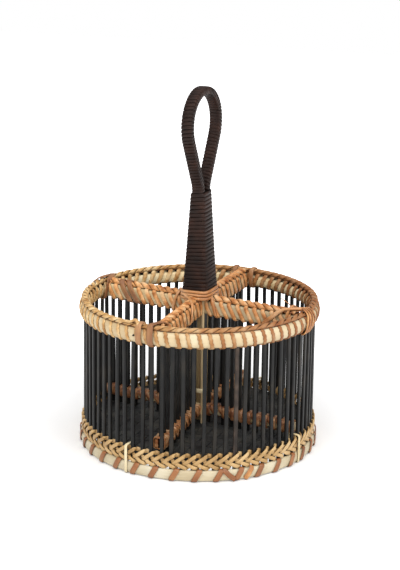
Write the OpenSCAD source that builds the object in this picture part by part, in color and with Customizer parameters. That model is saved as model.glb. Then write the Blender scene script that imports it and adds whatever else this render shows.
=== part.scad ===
// Round cutlery caddy of cane and black bamboo: four compartments and a bound loop handle.
// Millimetres, +Z up, origin at the middle of the footprint, the dividers near X and Y.

/* [Overall] */
// Height to the top of the bound handle loop
overall_height = 304; // [260:1:340]
// Radius to the middle of the wall slats at the floor
wall_radius_foot = 98; // [85:0.5:120]
// How far the wall leans in from the floor to the top of the rim
wall_lean = 0.8; // [0:0.1:5]
// Height of the top edge of the rim hoops
rim_top = 124.3; // [100:0.1:140]

/* [Wall] */
// Slats round the wall, a multiple of eight
slat_count = 72; // [56:8:80]
// Width of a slat
slat_width = 3.4; // [2.8:0.1:3.8]
// Thickness of a slat
slat_thick = 2.2; // [1.5:0.1:2.6]
// Thickness of the split cane of the hoops and battens
cane_thick = 2.5; // [1.5:0.1:3.5]
// Height of the rim hoops and of the top battens
rim_height = 11.6; // [8:0.1:16]
// Height of the top edge of the outer foot hoop
foot_top = 9.1; // [7:0.1:9.5]
// Height of the top edge of the inner foot hoop
foot_inner_top = 6.4; // [4:0.1:7]

/* [Lashing] */
// Thickness of the lashing cane
lash_thick = 0.9; // [0.5:0.1:1.2]
// Width of the lashing cane on the rim and the dividers
lash_width = 2.6; // [1.5:0.1:2.8]
// Width of the lashing cane on the foot
foot_lash_width = 3.8; // [2:0.1:4]
// Thickness of the strands plaited along the top edges
plait_thick = 1; // [0.6:0.1:1.4]
// Width of the strands plaited along the top edges
plait_width = 2.7; // [1.5:0.1:3.4]

/* [Twined band] */
// Height of the lower edge of the twined band
band_bottom = 10.2; // [9.8:0.1:14]
// Height of one row of twining
band_row = 7; // [6:0.1:9]
// Thickness of a twining strand
twine_thick = 1; // [0.6:0.1:1.4]
// Height of a twining strand
twine_width = 2.6; // [1.5:0.1:2.8]

/* [Base mat] */
// Distance between neighbouring strips of the mat
mat_pitch = 10.6; // [8:0.1:16]
// Gap between neighbouring strips of the mat
mat_gap = 0.8; // [0.5:0.1:2]
// Thickness of a strip of the mat
mat_thick = 0.8; // [0.5:0.1:1.2]
// Height of the middle of the mat
mat_middle = 13.9; // [12:0.1:16]

/* [Dividers] */
// Slats in each arm of the dividers
arm_slats = 10; // [8:1:11]
// Distance from the axis at which the lashing of an arm starts
arm_start = 13; // [12.5:0.5:18]
// Height of the low battens
low_rail_height = 7.2; // [5:0.1:10]
// Clear height under the low battens, where the feet of the divider slats show
low_rail_lift = 7.5; // [0:0.5:20]
// Slats by which the long divider is turned from square, seen from above
long_turn = -1; // [-1:1:1]
// Slats by which the front divider is turned from square, seen from above
front_turn = 1; // [-1:1:1]

/* [Post and ties] */
// Thickness of the four sticks of the post
stick_diameter = 2.6; // [2.2:0.1:3.4]
// How far the sticks spread towards the base, along X and along Y
stick_spread = 1; // [0:0.1:1]
// Thickness of the shaved tips of the sticks
stick_tip = 1; // [0.6:0.1:1.5]
// Height of the middle of the tie round the post
post_tie_height = 44; // [32:1:90]
// Width of the ties round the post, the foot and the rim
tie_width = 3; // [2:0.1:3.4]
// Slats by which the foot ties are turned from X and Y, seen from above
foot_tie_turn = -2; // [-3:1:3]
// Thickness of the ties
tie_thick = 0.9; // [0.5:0.1:1.4]

/* [Handle] */
// Radius to the middle of the bent core at the top of the loop
loop_radius = 27.5; // [22:0.5:32]
// Slope of the loop's legs from upright
leg_slope = 26; // [18:0.1:30]
// Radius of the bend from the legs into the stem
neck_radius = 20; // [12:1:30]
// Distance from the axis to the middle of the core at the neck
neck_half = 5.6; // [5:0.1:7]
// Outward slope of the core in the stem
stem_splay = 2.6; // [1:0.1:3]
// Thickness of the core
core_thick = 4.4; // [3:0.1:4.6]
// Width of the core
core_width = 7.8; // [5:0.1:8]
// Thickness of the binding
binding_thick = 1; // [0.6:0.1:1.4]
// Turns of the binding on each leg of the loop
leg_turns = 24; // [12:1:24]
// Turns of the binding on the stem
stem_turns = 24; // [12:1:24]
// Gap between the turns of the binding
binding_gap = 0.8; // [0.7:0.1:1.2]

/* [Fits] */
// Clearance between cane laid against cane
fit = 0.1; // [0.05:0.01:0.2]

/* [Hidden] */
$fn = 48;
rim_bottom = rim_top - rim_height;
slat_step = 360 / slat_count;
lean_angle = atan(wall_lean / rim_top);
skin_in = slat_thick / 2 + fit;
skin_out = skin_in + cane_thick;
lash_in = 2 * fit;
lash_out = lash_in + lash_thick;
foot_bottom = lash_out;
slat_bottom = foot_bottom + 0.4;
slat_top = rim_top - 0.6;
mat_half = mat_thick + fit / 2;
mat_top = mat_middle + mat_half;
band_top = band_bottom + 2 * band_row;
mat_radius = wall_radius(mat_middle) - skin_in - twine_thick - fit;
mat_count = 2 * floor(mat_radius / mat_pitch);
plait_bottom = rim_top + lash_out + fit;
plait_top = plait_bottom + 2 * plait_thick + fit;

arm_end = wall_radius(rim_top) - skin_out - lash_out - 2 * fit;
arm_pitch = (arm_end - arm_start) / arm_slats;
// Share of the pitch by which a lashing starts beside the middle of its gap
lash_first = 0.07;
// The innermost slat of an arm stands close to the first turn of its lashing
inner_slat = arm_start + lash_first * arm_pitch - (lash_width + slat_width) / 2 - fit;
low_bottom = mat_top + lash_out + fit + low_rail_lift;
low_top = low_bottom + low_rail_height;
rail_half = skin_out;

loop_height = overall_height - core_thick / 2 - fit - binding_thick - loop_radius;
arc_length = loop_radius * (90 + leg_slope) * PI / 180;
leg_length = ((loop_radius + neck_radius) * cos(leg_slope)
    - neck_radius * cos(stem_splay) - neck_half) / sin(leg_slope);
neck_length = neck_radius * (leg_slope + stem_splay) * PI / 180;
bent_length = arc_length + leg_length + neck_length;
leg_top = [loop_radius * cos(leg_slope), loop_height - loop_radius * sin(leg_slope)];
leg_bottom = leg_top - leg_length * [sin(leg_slope), cos(leg_slope)];
neck_middle = leg_bottom + neck_radius * [cos(leg_slope), -sin(leg_slope)];
neck_end = neck_middle - neck_radius * [cos(stem_splay), sin(stem_splay)];
core_length = (neck_end[1] - rim_top - fit) / cos(stem_splay) - core_thick * sin(stem_splay);
// Places along the middle line at which the core's outline turns
core_steps = concat([for (i = [0 : 24]) i / 24 * arc_length],
    [for (i = [0 : 6]) arc_length + leg_length + i / 6 * neck_length], [bent_length + core_length]);

foot_tie_angles = [for (i = [0 : 3]) 90 * i + foot_tie_turn * slat_step];
long_angle = long_turn * slat_step;
front_angle = 270 + front_turn * slat_step;
most_turn = max(abs(long_turn), abs(front_turn)) * slat_step;
stick_radius = stick_diameter / 2;
stick_place = (rail_half + fit + stick_radius) / (cos(most_turn) - sin(most_turn));
stick_bend = plait_top + 1.6;
stick_end = stick_bend + 0.86 * (neck_end[1] - stick_bend);

leg_run = bent_length - 0.6;
leg_pitch = (leg_run - 0.6) / leg_turns;
leg_strip = leg_pitch - binding_gap - 0.4;
stem_bottom = stick_bend + 1.2;
stem_top = neck_end[1] - 0.8;
stem_pitch = (stem_top - stem_bottom) / (stem_turns + 0.5);
stem_strip = stem_pitch - binding_gap;
collar_turns = 3;
collar_pitch = (stem_bottom - plait_bottom - fit) / (collar_turns + 0.3);
collar_strip = collar_pitch - 0.5;

// The arms of the dividers: the angle of each, and the places of its rim ties in slats from it
ARMS = [["right", long_angle, [-1, 1]], ["back", 90, [-1, 1]],
    ["left", 180 + long_angle, [-1, 1]], ["front", front_angle, [-2, -1]]];
SIDES = ["left", "right"];

// Which node to draw

// Radius to the middle of the wall slats at a height
function wall_radius(z) = wall_radius_foot - wall_lean * z / rim_top;

// A point at a radius, an angle and a height
function polar(r, a, z) = [r * cos(a), r * sin(a), z];

// Four corners of a strip: from u0 to u1 along the run, inner and outer corner of the section
function strip_ring(u0, u1, inner, outer) = [
    [u0, inner[0], inner[1]], [u0, outer[0], outer[1]],
    [u1, outer[0], outer[1]], [u1, inner[0], inner[1]]];

// Rings of a lashing: one ring at each corner of the section that it goes round
function lash_rings(inner, outer, turns, start, pitch, half, shares) = let (count = len(inner)) [
    for (i = [0 : count * turns - 2])
        let (k = i % count, u = start + (floor(i / count) + shares[k]) * pitch)
        strip_ring(u - half, u + half, inner[k], outer[k])];

// Corners of the section of the rim's two hoops, grown by an offset
function rim_corners(grow) = [
    [wall_radius(rim_bottom) + skin_out + grow, rim_bottom - grow],
    [wall_radius(rim_top) + skin_out + grow, rim_top + grow],
    [wall_radius(rim_top) - skin_out - grow, rim_top + grow],
    [wall_radius(rim_bottom) - skin_out - grow, rim_bottom - grow]];

// Corners of the section of the foot's two hoops, of which the inner one is lower
function foot_corners(grow) = [
    [wall_radius(foot_bottom) + skin_out + grow, foot_bottom - grow],
    [wall_radius(foot_top) + skin_out + grow, foot_top + grow],
    [wall_radius(foot_top) + skin_in, foot_top + grow],
    [wall_radius(foot_inner_top) - skin_out - grow, foot_inner_top + grow],
    [wall_radius(foot_bottom) - skin_out - grow, foot_bottom - grow]];

// Corners of the section of two battens, grown by an offset
function rail_corners(bottom, top, grow) = [
    [rail_half + grow, bottom - grow], [rail_half + grow, top + grow],
    [-rail_half - grow, top + grow], [-rail_half - grow, bottom - grow]];

// Rings laid along a circle: the run is an angle and the first section value a radius
function round_run(rings) = [for (ring = rings) [for (p = ring) polar(p[1], p[0], p[2])]];

// Least distance between neighbouring turns of a winding, over the corners of its rings
function turn_gap(rings, count = 4) = min([for (i = [0 : len(rings) - count - 1])
    min(norm(rings[i + count][0] - rings[i][3]), norm(rings[i + count][1] - rings[i][2]))]);

// Section of a strand lying at a radius and a height
function strand_ring(u, v, z, wide, high) = [
    [u, v - wide / 2, z - high / 2], [u, v + wide / 2, z - high / 2],
    [u, v + wide / 2, z + high / 2], [u, v - wide / 2, z + high / 2]];

// One strand of paired twining: in front of one slat and behind the next, rising or falling
function twine_rings(first, bottom, rise) = [
    for (i = [first : 2 : slat_count - 1]) for (k = [0 : 3])
        let (slat = i + (k < 2 ? 0 : 1),
             u = (slat + 0.5 + (k % 2 == 0 ? -0.3 : 0.3)) * slat_step,
             high = (k == 1 || k == 2) == rise,
             z = high ? bottom + band_row - twine_width / 2 - fit : bottom + twine_width / 2 + fit,
             reach = skin_in + twine_thick / 2,
             v = wall_radius(z) + (k < 2 ? reach : -reach))
        strand_ring(u, v, z, twine_thick, twine_width)];

// One strand of a plait: across on top of the other, then back below it
function plait_rings(middle, swing, start, period, repeats) = [
    for (i = [0 : repeats - 1]) for (k = [0 : 3])
        let (u = start + (i + [0.1, 0.4, 0.6, 0.9][k]) * period,
             v = middle + (k == 0 || k == 3 ? swing : -swing),
             z = plait_bottom + plait_thick / 2 + (k < 2 ? plait_thick + fit : 0))
        strand_ring(u, v, z, plait_width, plait_thick)];

// Middle line of one side of the handle loop, s from the top: across, up, angle of the outward side
function loop_line(s) =
    s < arc_length ? let (a = 90 - s / loop_radius * 180 / PI)
        [loop_radius * cos(a), loop_height + loop_radius * sin(a), a] :
    s < arc_length + leg_length ? let (d = s - arc_length)
        [leg_top[0] - d * sin(leg_slope), leg_top[1] - d * cos(leg_slope), -leg_slope] :
    s < bent_length ? let (a = (s - arc_length - leg_length) / neck_radius * 180 / PI - leg_slope)
        [neck_middle[0] - neck_radius * cos(a), neck_middle[1] - neck_radius * sin(a), a] :
    let (d = s - bent_length)
        [neck_end[0] + d * sin(stem_splay), neck_end[1] - d * cos(stem_splay), stem_splay];

// A point on the bound loop: across the band and out from its middle line
function loop_point(s, across, out) = let (q = loop_line(s))
    [across, q[0] + out * cos(q[2]), q[1] + out * sin(q[2])];

// Rings of the binding on one leg of the loop, one at each corner of the core
function leg_rings() = [for (i = [0 : 4 * leg_turns - 2])
    let (s = 0.6 + (i + 0.5) / 4 * leg_pitch,
         x = [1, -1, -1, 1][i % 4], y = [1, 1, -1, -1][i % 4],
         x0 = core_width / 2 + fit, y0 = core_thick / 2 + fit,
         x1 = x0 + binding_thick, y1 = y0 + binding_thick,
         a = max(0.02, s - leg_strip / 2), b = s + leg_strip / 2)
    [loop_point(a, x * x0, y * y0), loop_point(a, x * x1, y * y1),
     loop_point(b, x * x1, y * y1), loop_point(b, x * x0, y * y0)]];

// Half size of the stem along X and along Y at a height, without its binding
function stem_half(z) = let (t = max(0, (z - stick_bend) / (stick_end - stick_bend)))
    [(1 - t) * (stick_place + stick_radius) + t * (core_width / 2 + fit + stick_tip),
     neck_half + (neck_end[1] - z) * tan(stem_splay) + core_thick / 2 / cos(stem_splay)];

// A point on a corner of the stem, out from its surface
function stem_point(z, k, out) = let (h = stem_half(z))
    [[1, 1, -1, -1][k] * (h[0] + out), [-1, 1, 1, -1][k] * (h[1] + out), z];

// Rings of a winding round the stem, one at each corner
function stem_rings(bottom, pitch, strip, turns, thick) = [for (i = [0 : 4 * turns])
    let (z = bottom + strip / 2 + i / 4 * pitch, a = z - strip / 2, b = z + strip / 2, k = i % 4)
    [stem_point(a, k, fit), stem_point(a, k, fit + thick),
     stem_point(b, k, fit + thick), stem_point(b, k, fit)]];

// A strip or strand through its rings, closed on itself or with two flat ends
module strip(rings, closed = false, turned = false) {
    count = len(rings);
    corners = len(rings[0]);
    last = corners * (count - 1);
    sides = [for (i = [0 : count - (closed ? 1 : 2)]) for (k = [0 : corners - 1])
        let (a = corners * i + k, b = corners * i + (k + 1) % corners, j = (i + 1) % count,
             c = corners * j + k, d = corners * j + (k + 1) % corners)
        each [[a, b, d], [a, d, c]]];
    ends = closed ? [] : [for (k = [1 : corners - 2])
        each [[0, k + 1, k], [last, last + k, last + k + 1]]];
    polyhedron([for (ring = rings) for (k = [0 : corners - 1]) ring[turned ? corners - 1 - k : k]],
        concat(sides, ends));
}

// Section of a slat: flat faces and rounded edges
module slat_section() {
    edge = (slat_width - slat_thick) / 2;
    square([slat_thick, 2 * edge], center = true);
    for (side = [-1, 1]) translate([0, side * edge]) circle(d = slat_thick);
}

// One hoop of split cane on the outer or the inner side of the slats
module hoop(bottom, top, side) {
    edge = cane_thick / 5;
    color("burlywood") rotate_extrude() polygon([
        [wall_radius(bottom) + side * skin_in, bottom],
        [wall_radius(bottom) + side * (skin_out - edge), bottom],
        [wall_radius(bottom + edge) + side * skin_out, bottom + edge],
        [wall_radius(top - edge) + side * skin_out, top - edge],
        [wall_radius(top) + side * (skin_out - edge), top],
        [wall_radius(top) + side * skin_in, top]]);
}

// One batten of split cane along X, on one side of the divider slats
module batten(from, to, bottom, top, side) {
    edge = cane_thick / 5;
    color("burlywood") rotate([90, 0, 90]) translate([0, 0, from]) linear_extrude(to - from)
        polygon([
            [side * skin_in, bottom], [side * (skin_out - edge), bottom],
            [side * skin_out, bottom + edge], [side * skin_out, top - edge],
            [side * (skin_out - edge), top], [side * skin_in, top]]);
}

// A band of cane bent into an upright loop across the wall, round a section from low to high
module wall_loop(low, high) {
    size = high - low;
    translate([low[0], 0, low[1]]) difference() {
        translate([-tie_thick, -tie_width / 2, -tie_thick])
            cube([size[0] + 2 * tie_thick, tie_width, size[1] + 2 * tie_thick]);
        translate([0, -tie_width, 0]) cube([size[0], 2 * tie_width, size[1]]);
    }
}

// A square with its corners rounded
module soft_square(half, corner) {
    square([2 * half, 2 * (half - corner)], center = true);
    square([2 * (half - corner), 2 * half], center = true);
    for (x = [-1, 1]) for (y = [-1, 1])
        translate([x, y] * (half - corner)) circle(r = corner);
}

// The wall

module wall_slats() {
    color("dimgray") for (i = [0 : slat_count - 1]) rotate([0, 0, (i + 0.5) * slat_step])
        translate([wall_radius(slat_bottom), 0, slat_bottom]) rotate([0, -lean_angle, 0])
            linear_extrude((slat_top - slat_bottom) / cos(lean_angle)) slat_section();
}

module rim_outer_hoop() { hoop(rim_bottom, rim_top, 1); }

module rim_inner_hoop() { hoop(rim_bottom, rim_top, -1); }

module rim_lashing() {
    rings = round_run(lash_rings(rim_corners(lash_in), rim_corners(lash_out),
        slat_count, lash_first * slat_step, slat_step,
        lash_width / 2 / wall_radius_foot * 180 / PI, [0, 0.08, 0.2, 0.86]));
    echo(rim_lashing_gap = turn_gap(rings));
    color("peru") strip(rings, turned = true);
}

module rim_plait() {
    color("peru") for (half = [0, 1]) strip(round_run(plait_rings(
        wall_radius(rim_top), skin_out - plait_width / 2, half * slat_step, 2 * slat_step,
        slat_count / 2)), closed = true);
}

module foot_outer_hoop() { hoop(foot_bottom, foot_top, 1); }

module foot_inner_hoop() { hoop(foot_bottom, foot_inner_top, -1); }

module foot_lashing() {
    rings = round_run(lash_rings(foot_corners(lash_in), foot_corners(lash_out),
        slat_count / 2, 0.53 * slat_step, 2 * slat_step,
        foot_lash_width / 2 / wall_radius_foot * 180 / PI, [0, 0.21, 0.23, 0.25, 0.97]));
    echo(foot_lashing_gap = turn_gap(rings, 5));
    color("sienna") strip(rings, turned = true);
}

module foot_ties() {
    low = [wall_radius_foot - skin_out - lash_out - fit, tie_thick];
    high = [wall_radius_foot + skin_out + fit, band_top + fit];
    color("wheat") for (angle = foot_tie_angles) rotate([0, 0, angle]) wall_loop(low, high);
}

module twine(first, bottom, rise) {
    color("goldenrod") strip(round_run(twine_rings(first, bottom, rise)), closed = true);
}

module upper_twine_one() { twine(0, band_bottom + band_row, true); }

module upper_twine_two() { twine(1, band_bottom + band_row, true); }

module lower_twine_one() { twine(0, band_bottom, false); }

module lower_twine_two() { twine(1, band_bottom, false); }

// The base mat

// Upper or lower edge of a strip: over one strip of the other set and under the next
function mat_edge(first, lift) = [for (i = [0 : mat_count - 1]) for (end = [-1, 1])
    [(i - (mat_count - 1) / 2) * mat_pitch + end * (mat_pitch - mat_gap) / 2
        + (i == 0 && end < 0 ? -mat_pitch : i == mat_count - 1 && end > 0 ? mat_pitch : 0),
     lift + ((i + first) % 2 == 0 ? 1 : -1) * (mat_thick + fit) / 2]];

// Outline of the mat, with a notch for each foot tie
module mat_outline() {
    notch = wall_radius_foot - skin_out - lash_out - tie_thick - 3 * fit;
    translate([0, 0, mat_middle - 3]) linear_extrude(6) difference() {
        circle(r = mat_radius, $fn = 180);
        for (angle = foot_tie_angles) rotate(angle) translate([notch, -tie_width / 2 - fit])
            square([20, tie_width + 2 * fit]);
    }
}

module mat_strips() {
    for (j = [0 : mat_count - 1]) intersection() {
        translate([0, (j - (mat_count - 1) / 2) * mat_pitch, mat_middle]) rotate([90, 0, 0])
            linear_extrude(mat_pitch - mat_gap, center = true) polygon(concat(
                mat_edge(j, mat_thick / 2),
                [for (i = [2 * mat_count - 1 : -1 : 0]) mat_edge(j, -mat_thick / 2)[i]]));
        mat_outline();
    }
}

module base_warp() { color("dimgray") mat_strips(); }

module base_weft() { color("dimgray") rotate([0, 0, 90]) mat_strips(); }

// The dividers: a long one right across along X, and a short one on each side of it

module long_batten(bottom, top, side) {
    rotate([0, 0, long_angle]) batten(-arm_end, arm_end, bottom, top, side);
}

// A short batten starts where its end clears the side of the long divider
module short_batten(angle, bottom, top, side) {
    turned = (angle - long_angle) % 180 - 90;
    start = (rail_half * (1 + abs(sin(turned))) + fit) / cos(turned);
    rotate([0, 0, angle]) batten(start, arm_end, bottom, top, side);
}

// The slats of an arm, and one more between its lashing and the post
module arm_slat_row(angle) {
    places = concat(inner_slat, [for (i = [0 : arm_slats - 1]) arm_start + (i + 0.5) * arm_pitch]);
    color("dimgray") rotate([0, 0, angle]) for (along = places)
        translate([along, 0, mat_top + fit]) rotate([0, 0, 90])
            linear_extrude(slat_top - mat_top - fit) slat_section();
}

module long_slats() {
    arm_slat_row(long_angle);
    arm_slat_row(180 + long_angle);
}

module front_slats() { arm_slat_row(front_angle); }

module back_slats() { arm_slat_row(90); }

module arm_lashing(angle, bottom, top) {
    rings = lash_rings(rail_corners(bottom, top, lash_in), rail_corners(bottom, top, lash_out),
        arm_slats - 1, arm_start + lash_first * arm_pitch, arm_pitch, lash_width / 2,
        [0, 0.08, 0.2, 0.86]);
    echo(arm_lashing_gap = turn_gap(rings));
    color("peru") rotate([0, 0, angle]) strip(rings);
}

module arm_plait(angle) {
    repeats = floor((arm_end - arm_start - arm_pitch) / (2 * arm_pitch));
    color("peru") rotate([0, 0, angle]) for (half = [0, 1]) strip(plait_rings(
        0, skin_out - plait_width / 2, arm_start + half * arm_pitch, 2 * arm_pitch, repeats),
        turned = true);
}

// Two bands round the rim at the end of an arm, at places counted in slats from it
module rim_tie(angle, places) {
    low = [wall_radius(rim_top) - skin_out - lash_out - fit, rim_bottom - lash_out - fit];
    high = [wall_radius(rim_bottom) + skin_out + lash_out + fit, plait_top + fit];
    color("saddlebrown") for (place = places) rotate([0, 0, angle + place * slat_step])
        wall_loop(low, high);
}

// The post and the ties at the crossing

// How far a stick stands from the axis at a height below its bend, along X and along Y
function stick_reach(z) = stick_place
    + stick_spread * (stick_bend - z) / (stick_bend - mat_top);

// A level ring of a stick: along X and along Y from the axis, height and radius
function stick_ring(x, y, z, radius) = [for (k = [0 : 15])
    [x + radius * cos(22.5 * k), y + radius * sin(22.5 * k), z]];

module post_stick(x, y) {
    foot = stick_reach(mat_top + fit);
    color("tan") strip([
        stick_ring(x * foot, y * foot, mat_top + fit, stick_radius),
        stick_ring(x * stick_place, y * stick_place, stick_bend, stick_radius),
        stick_ring(x * (core_width / 2 + fit + stick_tip / 2), y * neck_half, stick_end, stick_tip / 2)],
        turned = true);
}

module post_tie() {
    half = stick_reach(post_tie_height - tie_width / 2) + stick_radius + fit;
    color("wheat") translate([0, 0, post_tie_height - tie_width / 2]) linear_extrude(tie_width)
        difference() {
            soft_square(half + tie_thick, stick_radius + fit + tie_thick);
            soft_square(half, stick_radius + fit);
        }
}

module cross_collar() {
    rings = stem_rings(plait_bottom, collar_pitch, collar_strip, collar_turns, tie_thick);
    echo(cross_collar_gap = turn_gap(rings));
    color("sandybrown") strip(rings);
}

// A flat band that starts beside the collar, goes over the edge of an arm and down its side
function band_rings(start, side, inner, top, bottom) = let (
    wide = [tie_width / 2, 0, 0],
    knots = [[[start, side, top], [0, 0, tie_thick]],
             [[start + 4, side * inner, top], [0, side * tie_thick, tie_thick]],
             [[start + 8, side * inner, bottom], [0, side * tie_thick, 0]]])
    [for (knot = knots) let (p = knot[0], n = knot[1]) [p - wide, p - wide + n, p + wide + n, p + wide]];

// Two bands from the collar over each arm and down its sides
module cross_ties() {
    top = plait_top + fit;
    inner = rail_half + lash_out + fit;
    color("sandybrown") for (i = [0 : 3]) for (side = [-1, 1]) {
        start = stem_half(top)[i % 2] + tie_thick + 2 * fit + tie_width / 2;
        rotate([0, 0, ARMS[i][1]])
            strip(band_rings(start, side, inner, top, rim_bottom + 2), turned = side > 0);
    }
}

// The handle

// Outline of the bent core on one of its faces, from one foot over the loop to the other
function core_edge(out) = concat(
    [for (i = [len(core_steps) - 1 : -1 : 1]) let (p = loop_point(core_steps[i], 0, out)) [-p[1], p[2]]],
    [for (s = core_steps) let (p = loop_point(s, 0, out)) [p[1], p[2]]]);

module handle_core() {
    inner = core_edge(-core_thick / 2);
    color("tan") rotate([90, 0, 90]) linear_extrude(core_width, center = true) polygon(concat(
        core_edge(core_thick / 2), [for (i = [len(inner) - 1 : -1 : 0]) inner[i]]));
}

module leg_binding(side) {
    rings = leg_rings();
    echo(leg_binding_gap = turn_gap(rings));
    color("darkslategray") mirror([0, side < 0 ? 1 : 0, 0]) strip(rings, turned = true);
}

module stem_binding() {
    rings = stem_rings(stem_bottom, stem_pitch, stem_strip, stem_turns, binding_thick);
    echo(stem_binding_gap = turn_gap(rings));
    color("darkslategray") strip(rings);
}

// The assembly

wall_slats();
rim_outer_hoop();
rim_inner_hoop();
rim_lashing();
rim_plait();
foot_outer_hoop();
foot_inner_hoop();
foot_lashing();
foot_ties();
upper_twine_one();
upper_twine_two();
lower_twine_one();
lower_twine_two();
base_warp();
base_weft();

long_batten(rim_bottom, rim_top, -1);  // long_top_batten_front
long_batten(rim_bottom, rim_top, 1);  // long_top_batten_back
long_batten(low_bottom, low_top, -1);  // long_low_batten_front
long_batten(low_bottom, low_top, 1);  // long_low_batten_back
short_batten(front_angle, rim_bottom, rim_top, -1);  // front_top_batten_left
short_batten(front_angle, rim_bottom, rim_top, 1);  // front_top_batten_right
short_batten(front_angle, low_bottom, low_top, -1);  // front_low_batten_left
short_batten(front_angle, low_bottom, low_top, 1);  // front_low_batten_right
short_batten(90, rim_bottom, rim_top, 1);  // back_top_batten_left
short_batten(90, rim_bottom, rim_top, -1);  // back_top_batten_right
short_batten(90, low_bottom, low_top, 1);  // back_low_batten_left
short_batten(90, low_bottom, low_top, -1);  // back_low_batten_right
long_slats();
front_slats();
back_slats();

for (arm = ARMS) {
    arm_lashing(arm[1], rim_bottom, rim_top);
    arm_lashing(arm[1], low_bottom, low_top);
    arm_plait(arm[1]);
    rim_tie(arm[1], arm[2]);
}

post_stick(-1, -1);  // post_stick_front_left
post_stick(1, -1);  // post_stick_front_right
post_stick(-1, 1);  // post_stick_back_left
post_stick(1, 1);  // post_stick_back_right
post_tie();
cross_collar();
cross_ties();
handle_core();
leg_binding(-1);  // front_leg_binding
leg_binding(1);  // back_leg_binding
stem_binding();
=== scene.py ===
import math
import random

import bpy
import numpy as np
from mathutils import Euler, Matrix, Vector


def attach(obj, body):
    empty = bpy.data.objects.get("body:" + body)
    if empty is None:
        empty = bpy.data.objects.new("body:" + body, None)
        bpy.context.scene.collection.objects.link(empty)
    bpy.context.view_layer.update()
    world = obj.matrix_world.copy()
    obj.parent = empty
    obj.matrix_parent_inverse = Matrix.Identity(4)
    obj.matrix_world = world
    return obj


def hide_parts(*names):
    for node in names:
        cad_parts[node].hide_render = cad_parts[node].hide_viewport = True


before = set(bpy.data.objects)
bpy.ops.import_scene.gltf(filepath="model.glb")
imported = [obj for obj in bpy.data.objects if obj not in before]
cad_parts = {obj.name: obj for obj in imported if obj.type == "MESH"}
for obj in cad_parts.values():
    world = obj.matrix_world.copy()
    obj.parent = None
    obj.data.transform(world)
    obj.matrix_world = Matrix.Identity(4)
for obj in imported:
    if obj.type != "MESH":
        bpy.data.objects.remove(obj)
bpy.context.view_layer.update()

hand = random.Random(7605)

# All sizes below are in millimetres and are put into the mesh in metres.
MM = 0.001

# Sizes repeated from the part
SLAT_COUNT = 72
SLAT_STEP = 360 / SLAT_COUNT
SLAT_WIDE = 3.4
SLAT_THICK = 2.2
WALL_RADIUS_FOOT = 98
WALL_LEAN = 0.8
WALL_SLAT_FOOT = 1.5
RIM_TOP = 124.3
RIM_BOTTOM = 112.7
SLAT_TOP = 123.7
FOOT_BOTTOM = 1.1
FOOT_TOP = 9.1
FOOT_INNER_TOP = 6.4
SKIN_IN = 1.2
SKIN_OUT = 3.7
CANE_THICK = 2.5
LASH_THICK = 0.9
LASH_LIFT = 0.65
BAND_BOTTOM = 10.2
BAND_TOP = 24.2
PLAIT_BOTTOM = 125.5
ARM_START = 13.0
ARM_END = 92.2
ARM_FIRST = 8.2
ARM_PITCH = 7.92
ARM_SLATS = 10
INNER_SLAT = 10.45
SLAT_FOOT = 14.9
LOW_BOTTOM = 23.45
LOW_TOP = 30.65
# The dividers stand a slat off square in places, as the photograph shows.
ARMS = {"right": -5, "back": 90, "left": 175, "front": 275}
FOOT_TIES = (350, 80, 170, 260)


def wall_radius(z):
    """Radius to the middle of the wall slats at a height."""
    return WALL_RADIUS_FOOT - WALL_LEAN * z / RIM_TOP


def polar(radius, angle, z):
    """A point at a radius, an angle in degrees and a height."""
    turn = math.radians(angle)
    return Vector((radius * math.cos(turn), radius * math.sin(turn), z))


def jitter(amount):
    """A small seeded departure to either side, as handwork has."""
    return hand.uniform(-amount, amount)


# Materials

def linear(hex_colour):
    """Linear RGBA of an sRGB hex colour."""
    values = [int(hex_colour[i:i + 2], 16) / 255 for i in (1, 3, 5)]
    steps = [v / 12.92 if v <= 0.04045 else ((v + 0.055) / 1.055) ** 2.4 for v in values]
    return (*steps, 1)


def add(tree, kind, settings=None, links=None):
    """Add a node, set its values and sockets, and link sockets of other nodes into it."""
    node = tree.nodes.new(kind)
    for key, value in (settings or {}).items():
        if key == "ramp":
            ramp = node.color_ramp
            while len(ramp.elements) < len(value):
                ramp.elements.new(0.5)
            for element, (place, colour) in zip(ramp.elements, value):
                element.position = place
                element.color = colour
        elif isinstance(key, int) or key in node.inputs:
            node.inputs[key].default_value = value
        else:
            setattr(node, key, value)
    for key, socket in (links or {}).items():
        tree.links.new(socket, node.inputs[key])
    return node


def grey(value):
    """A grey for the black and white stops of a ramp."""
    return (value, value, value, 1)


def new_material(name):
    """An empty node material and its tree, with the output node in place."""
    material = bpy.data.materials.new(name)
    material.use_nodes = True
    material.node_tree.nodes.clear()
    out = add(material.node_tree, "ShaderNodeOutputMaterial")
    return material, material.node_tree, out


def three_tones(tones, places):
    """The stops of a ramp from the dark, the middle and the light tone of a material."""
    return [(place, linear(tone)) for place, tone in zip(places, tones)]


def fibre_finish(tree, out, colour, fibre, rough, bump, depth_mm, settings):
    """The surface of all these materials: roughness and relief follow the fibres."""
    gloss = add(tree, "ShaderNodeMapRange", {"To Min": rough[0], "To Max": rough[1]},
                {"Value": fibre.outputs["Fac"]})
    relief = add(tree, "ShaderNodeBump", {"Strength": bump, "Distance": depth_mm * MM},
                 {"Height": fibre.outputs["Fac"]})
    shader = add(tree, "ShaderNodeBsdfPrincipled", {"IOR": 1.5, **settings},
                 {"Base Color": colour, "Roughness": gloss.outputs["Result"],
                  "Normal": relief.outputs["Normal"]})
    tree.links.new(shader.outputs["BSDF"], out.inputs["Surface"])


# One more tone comes in along this direction, from the left of the object to the right, between these places.
RIGHT_TONE_WAY = (0.96, 0.28, 0)
RIGHT_TONE_FROM = -80
RIGHT_TONE_TO = 70
# Fibres are so many times as long as wide and take this share of the tone. Flecks have this width and length.
FIBRE_LENGTHS = 45
FIBRE_SHARE = 0.42
FLECK_WIDE = 0.5
FLECK_LONG = 2.2


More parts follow.
